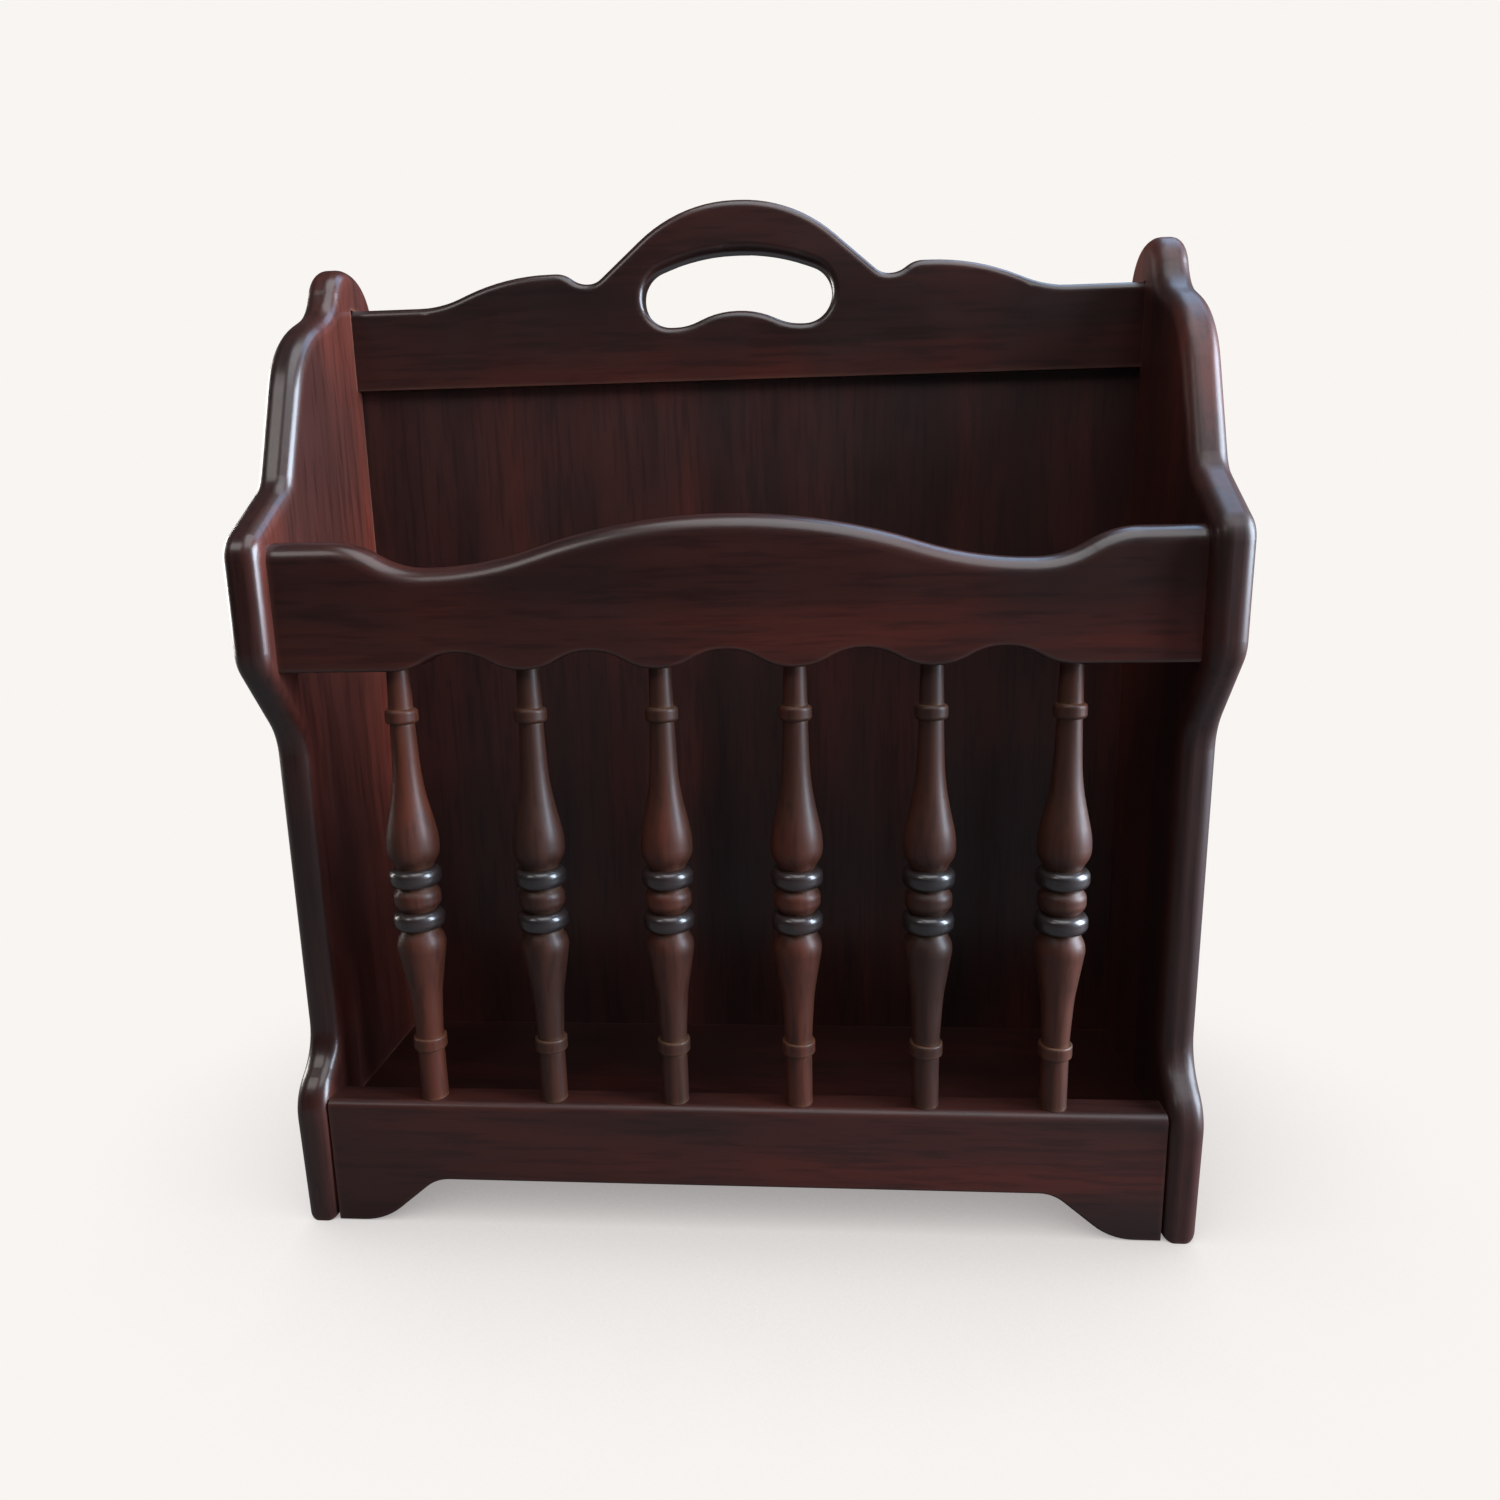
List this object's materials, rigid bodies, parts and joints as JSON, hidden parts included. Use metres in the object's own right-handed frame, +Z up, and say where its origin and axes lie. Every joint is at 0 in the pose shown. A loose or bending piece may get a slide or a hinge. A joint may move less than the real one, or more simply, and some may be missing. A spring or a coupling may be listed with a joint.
{
  "type": "magazine rack",
  "caption": "Free-standing wooden magazine rack: open pockets either side of a handled divider, scrolled ends, turned spindles and bracket feet.",
  "frame": {"origin": "on the ground, under the middle of the rack", "axes": "+X to the right along the length, +Y to the back, +Z up; front and back pockets mirror each other in the XZ plane"},
  "size_m": [0.435, 0.256, 0.495],
  "materials": {
    "stained_wood": "dark red-brown stain under semi-gloss lacquer",
    "stained_panel": "dark red-brown stained thin panel under satin lacquer",
    "turned_wood": "turned, stained a little lighter, with dark beads, semi-gloss lacquer"
  },
  "bodies": {
    "root": {"end_panel_left": "stained_wood", "end_panel_right": "stained_wood", "divider_handle_board": "stained_wood", "floor_board": "stained_wood", "divider_panel": "stained_panel", "front_top_rail": "stained_wood", "front_bottom_rail": "stained_wood", "front_spindle_1": "turned_wood", "front_spindle_2": "turned_wood", "front_spindle_3": "turned_wood", "front_spindle_4": "turned_wood", "front_spindle_5": "turned_wood", "front_spindle_6": "turned_wood", "back_top_rail": "stained_wood", "back_bottom_rail": "stained_wood", "back_spindle_1": "turned_wood", "back_spindle_2": "turned_wood", "back_spindle_3": "turned_wood", "back_spindle_4": "turned_wood", "back_spindle_5": "turned_wood", "back_spindle_6": "turned_wood"}
  },
  "joints": []
}
